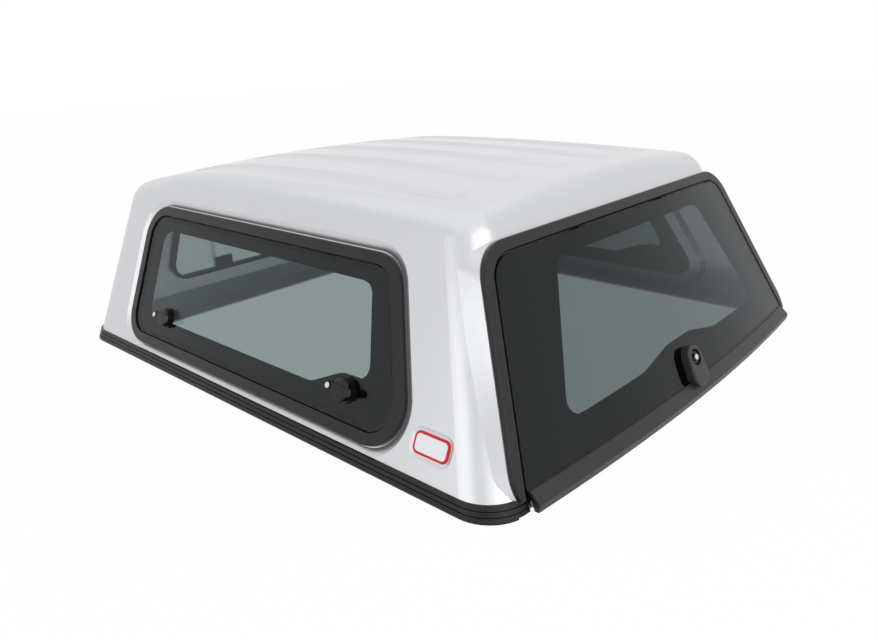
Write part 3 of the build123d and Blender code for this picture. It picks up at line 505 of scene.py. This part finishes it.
first_turn = math.asin((cut_y(SHELL_FOOT) - CORNER_Y) / CORNER_RADIUS)
print("the cut runs out", round(90 - math.degrees(first_turn)), "degrees round each corner")

# %% Front wall foot
STATIONS = 16
MERGE = 0.00001
turns = [first_turn + (math.pi / 2 - first_turn) * k / STATIONS for k in range(STATIONS + 1)]
vertices = []
for sign, way in ((1, turns), (-1, reversed(turns))):
    for turn in way:
        for reach, z in foot_section(turn):
            corner_x = WALL_FOOT_X - math.tan(WALL_LEAN) * (z - SHELL_FOOT) - CORNER_RADIUS
            vertices.append((sign * (corner_x + reach * math.cos(turn)),
                             CORNER_Y + reach * math.sin(turn), z))
count = len(foot_section(math.pi / 2))
faces = [(row * count + k, row * count + (k + 1) % count, (row + 1) * count + (k + 1) % count,
          (row + 1) * count + k) for row in range(2 * len(turns) - 1) for k in range(count)]
front_foot = make_piece("front_wall_foot", vertices, faces, paint, "canopy")
turn_outwards(front_foot, MERGE)
print("front wall foot:", len(front_foot.data.polygons), "faces")

# %% [markdown]
# ## Studio floor
#
# The canopy stands on a plain white studio floor. More light on the floor would whiten it, but it would
# bleach the paint as well, so the floor glows at a strength of 1, which is white, wherever it is looked
# at: by the camera, through glass or in a shiny surface. A small share of its own pale grey stays in, and
# that share takes the canopy's shadow.

# %% Studio floor
REACH = 14.0
FLOOR_WHITE = 0.97


def looked_at(tree):
    """A socket that is 1 for what the camera sees, straight, through glass or in a shiny surface."""
    rays = add_node(tree, "ShaderNodeLightPath")
    seen = add_node(tree, "ShaderNodeMath", {},
                    {0: rays.outputs["Is Camera Ray"], 1: rays.outputs["Is Transmission Ray"]},
                    operation="MAXIMUM")
    shown = add_node(tree, "ShaderNodeMath", {}, {0: seen.outputs[0], 1: rays.outputs["Is Glossy Ray"]},
                     operation="MAXIMUM")
    return shown.outputs[0]


floor_mesh = bpy.data.meshes.new("studio_floor")
floor_corners = [(-REACH, -REACH, 0), (REACH, -REACH, 0), (REACH, REACH, 0), (-REACH, REACH, 0)]
floor_mesh.from_pydata(floor_corners, [], [(0, 1, 2, 3)])
floor = bpy.data.objects.new("studio_floor", floor_mesh)
bpy.context.scene.collection.objects.link(floor)
floor_finish, tree, shader = finish_material("pale_studio_floor")
shader.inputs["Base Color"].default_value = linear("#e9e9e9")
shader.inputs["Roughness"].default_value = 0.9
white = add_node(tree, "ShaderNodeEmission", {"Color": linear("#ffffff"), "Strength": 1.0})
mostly = add_node(tree, "ShaderNodeMath", {1: FLOOR_WHITE}, {0: looked_at(tree)}, operation="MULTIPLY")
blend = add_node(tree, "ShaderNodeMixShader",
                 links={0: mostly.outputs[0], 1: shader.outputs[0], 2: white.outputs[0]})
tree.links.new(blend.outputs[0], tree.nodes["Material Output"].inputs["Surface"])
floor_mesh.materials.append(floor_finish)
print("floor:", 2 * REACH, "m across, white by", FLOOR_WHITE)

# %% [markdown]
# ## Surroundings
#
# The studio is white where it is looked at, in the same way as the floor. What it casts on dull surfaces
# is graded by height instead, bright low down and overhead with a dimmer belt between, because the same
# light from all round would leave those surfaces flat. A ramp over the height of each direction does this
# in the world itself, with no walls to build.

# %% Surroundings
BANDS = ((0.0, 0.86), (0.3, 0.84), (0.52, 0.56), (0.7, 0.62), (0.86, 1.0))
world = bpy.data.worlds.new("white_studio")
world.use_nodes = True
bpy.context.scene.world = world
tree = world.node_tree
background = tree.nodes["Background"]
background.inputs["Color"].default_value = linear("#ffffff")
direction = add_node(tree, "ShaderNodeTexCoord")
height = add_node(tree, "ShaderNodeSeparateXYZ", links={0: direction.outputs["Generated"]})
bands = add_node(tree, "ShaderNodeValToRGB", links={0: height.outputs["Z"]})
ramp = bands.color_ramp
while len(ramp.elements) < len(BANDS):
    ramp.elements.new(1.0)
for stop, (place, grey) in zip(ramp.elements, BANDS):
    stop.position = place
    stop.color = (grey, grey, grey, 1.0)
level = add_node(tree, "ShaderNodeMix", {"B": 1.0}, {0: looked_at(tree), "A": bands.outputs["Color"]})
tree.links.new(level.outputs[0], background.inputs["Strength"])
print("white surroundings,", len(BANDS), "levels of light by height")

# %% [markdown]
# ## Lamps
#
# Four soft lamps shape the silver paint: one overhead, one off the left wall, one near the camera for the
# rear corner and one behind and above the rear face. A small lamp or a sun would leave a hard spot on the
# lacquer, so each is a square of 2 to 5 metres. Places are in metres and powers in watts.

# %% Lamps
LAMPS = (
    ("lamp_overhead", (0.2, 0.4, 3.4), (0, 0, 0.3), 5.0, 16),
    ("lamp_left", (-3.8, 0.2, 1.2), (-0.4, 0, 0.25), 2.2, 12),
    ("lamp_near_camera", (-2.2, -3.4, 1.2), (-0.6, -0.7, 0.2), 2.6, 10),
    ("lamp_rear", (-0.6, -3.6, 2.6), (0, -0.7, 0.3), 3.2, 36),
)


def soft_lamp(name, place, target, size, power):
    """A large square lamp that faces a point."""
    light = bpy.data.lights.new(name, "AREA")
    light.size = size
    light.energy = power
    lamp = bpy.data.objects.new(name, light)
    lamp.location = place
    lamp.rotation_euler = (Vector(target) - Vector(place)).to_track_quat("-Z", "Y").to_euler()
    bpy.context.scene.collection.objects.link(lamp)


for name, place, target, size, power in LAMPS:
    soft_lamp(name, place, target, size, power)
    print(name, size, "m wide,", power, "W")

# %% [markdown]
# ## Camera
#
# The camera stands off the left rear corner, a little above the roof, and is rolled by a small angle.
# Aiming it at a point would leave out the roll, so its matrix is made from three directions, its right,
# its up and its back, and from its place. The focal length is known in pixels of a picture 878 pixels
# wide, and becomes millimetres on a sensor 36 mm wide.

# %% Camera
AZIMUTH, ELEVATION, ROLL = math.radians(-46.794), math.radians(20.201), math.radians(-2.374)
CAMERA_PLACE = Vector((-1.6506, -1.5237, 0.840))
FOCAL_PIXELS, WIDTH_PIXELS, SENSOR_MM = 742.5, 878, 36.0
back = Vector((math.sin(AZIMUTH) * math.cos(ELEVATION), -math.cos(AZIMUTH) * math.cos(ELEVATION),
               math.sin(ELEVATION)))
right = Vector((math.cos(AZIMUTH), math.sin(AZIMUTH), 0))
up = back.cross(right)
camera_x = right * math.cos(ROLL) + up * math.sin(ROLL)
camera_y = up * math.cos(ROLL) - right * math.sin(ROLL)
lens = bpy.data.cameras.new("camera")
lens.sensor_width = SENSOR_MM
lens.lens = FOCAL_PIXELS / WIDTH_PIXELS * SENSOR_MM
camera = bpy.data.objects.new("camera", lens)
turned = Matrix((camera_x, camera_y, back)).transposed().to_4x4()
camera.matrix_world = Matrix.Translation(CAMERA_PLACE) @ turned
bpy.context.scene.collection.objects.link(camera)
bpy.context.scene.camera = camera
bpy.context.scene.view_settings.view_transform = "Standard"
print("lens", round(lens.lens, 2), "mm")
